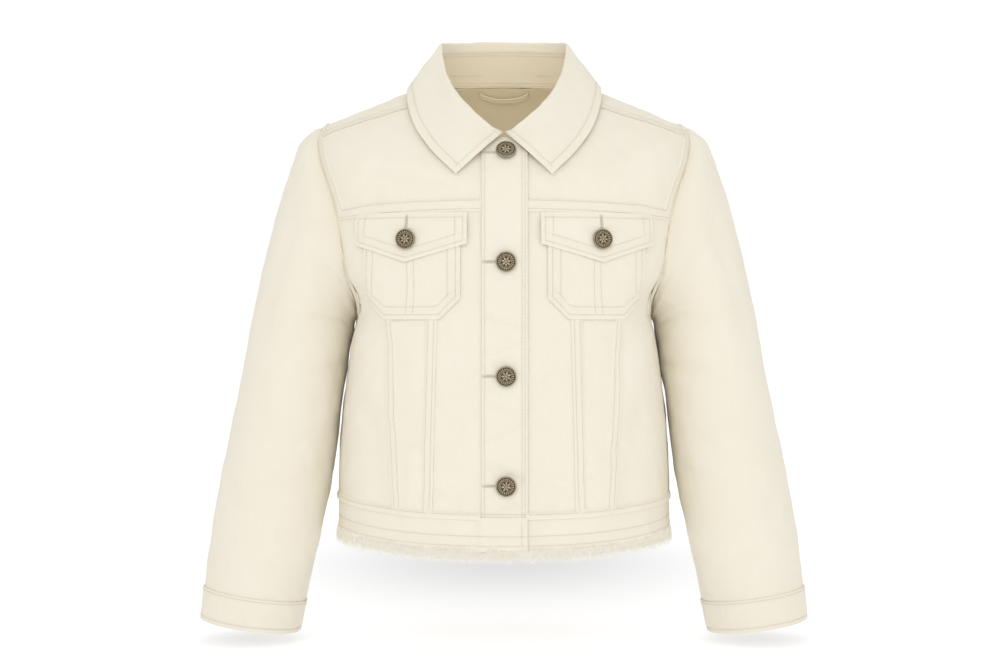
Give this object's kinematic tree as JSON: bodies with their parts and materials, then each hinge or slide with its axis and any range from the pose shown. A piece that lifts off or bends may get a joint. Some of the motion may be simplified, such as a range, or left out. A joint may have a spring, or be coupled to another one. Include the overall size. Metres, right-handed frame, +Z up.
{
  "type": "denim jacket",
  "caption": "Cropped cream denim trucker jacket in its worn shape, hollow, with a collar, buttoned front, flap pockets, cuffs and a frayed hem.",
  "frame": {"origin": "middle of the neck opening, level with the neck ends of the shoulders, where the shoulders hold the jacket up", "axes": "+Z up, -Y out of the buttoned front, +X to the wearer's left"},
  "size_m": [0.5518, 0.2088, 0.5463],
  "materials": {
    "denim": "cream cotton twill, washed, tonal double topstitching",
    "frayed_thread": "loose cotton yarn of the raw hem",
    "button_metal": "antique nickel plate, dark in the hollows, bright on the rims"
  },
  "bodies": {
    "root": {"front_yoke_L": "denim", "front_yoke_R": "denim", "front_centre_panel_L": "denim", "front_centre_panel_R": "denim", "front_mid_panel_L": "denim", "front_mid_panel_R": "denim", "front_side_panel_L": "denim", "front_side_panel_R": "denim", "button_band": "denim", "under_band": "denim", "back_yoke": "denim", "back_centre_panel": "denim", "back_side_panel_L": "denim", "back_side_panel_R": "denim", "waistband_L": "denim", "waistband_R": "denim", "waistband_back": "denim", "sleeve_L": "denim", "sleeve_R": "denim", "cuff_L": "denim", "cuff_R": "denim", "collar_stand": "denim", "collar_fall": "denim", "pocket_L": "denim", "pocket_R": "denim", "flap_L": "denim", "flap_R": "denim", "hanger_loop": "denim", "hem_fray_L": "frayed_thread", "hem_fray_R": "frayed_thread", "hem_fray_back": "frayed_thread", "front_button_1": "button_metal", "front_button_2": "button_metal", "front_button_3": "button_metal", "front_button_4": "button_metal", "pocket_button_L": "button_metal", "pocket_button_R": "button_metal"}
  },
  "joints": []
}
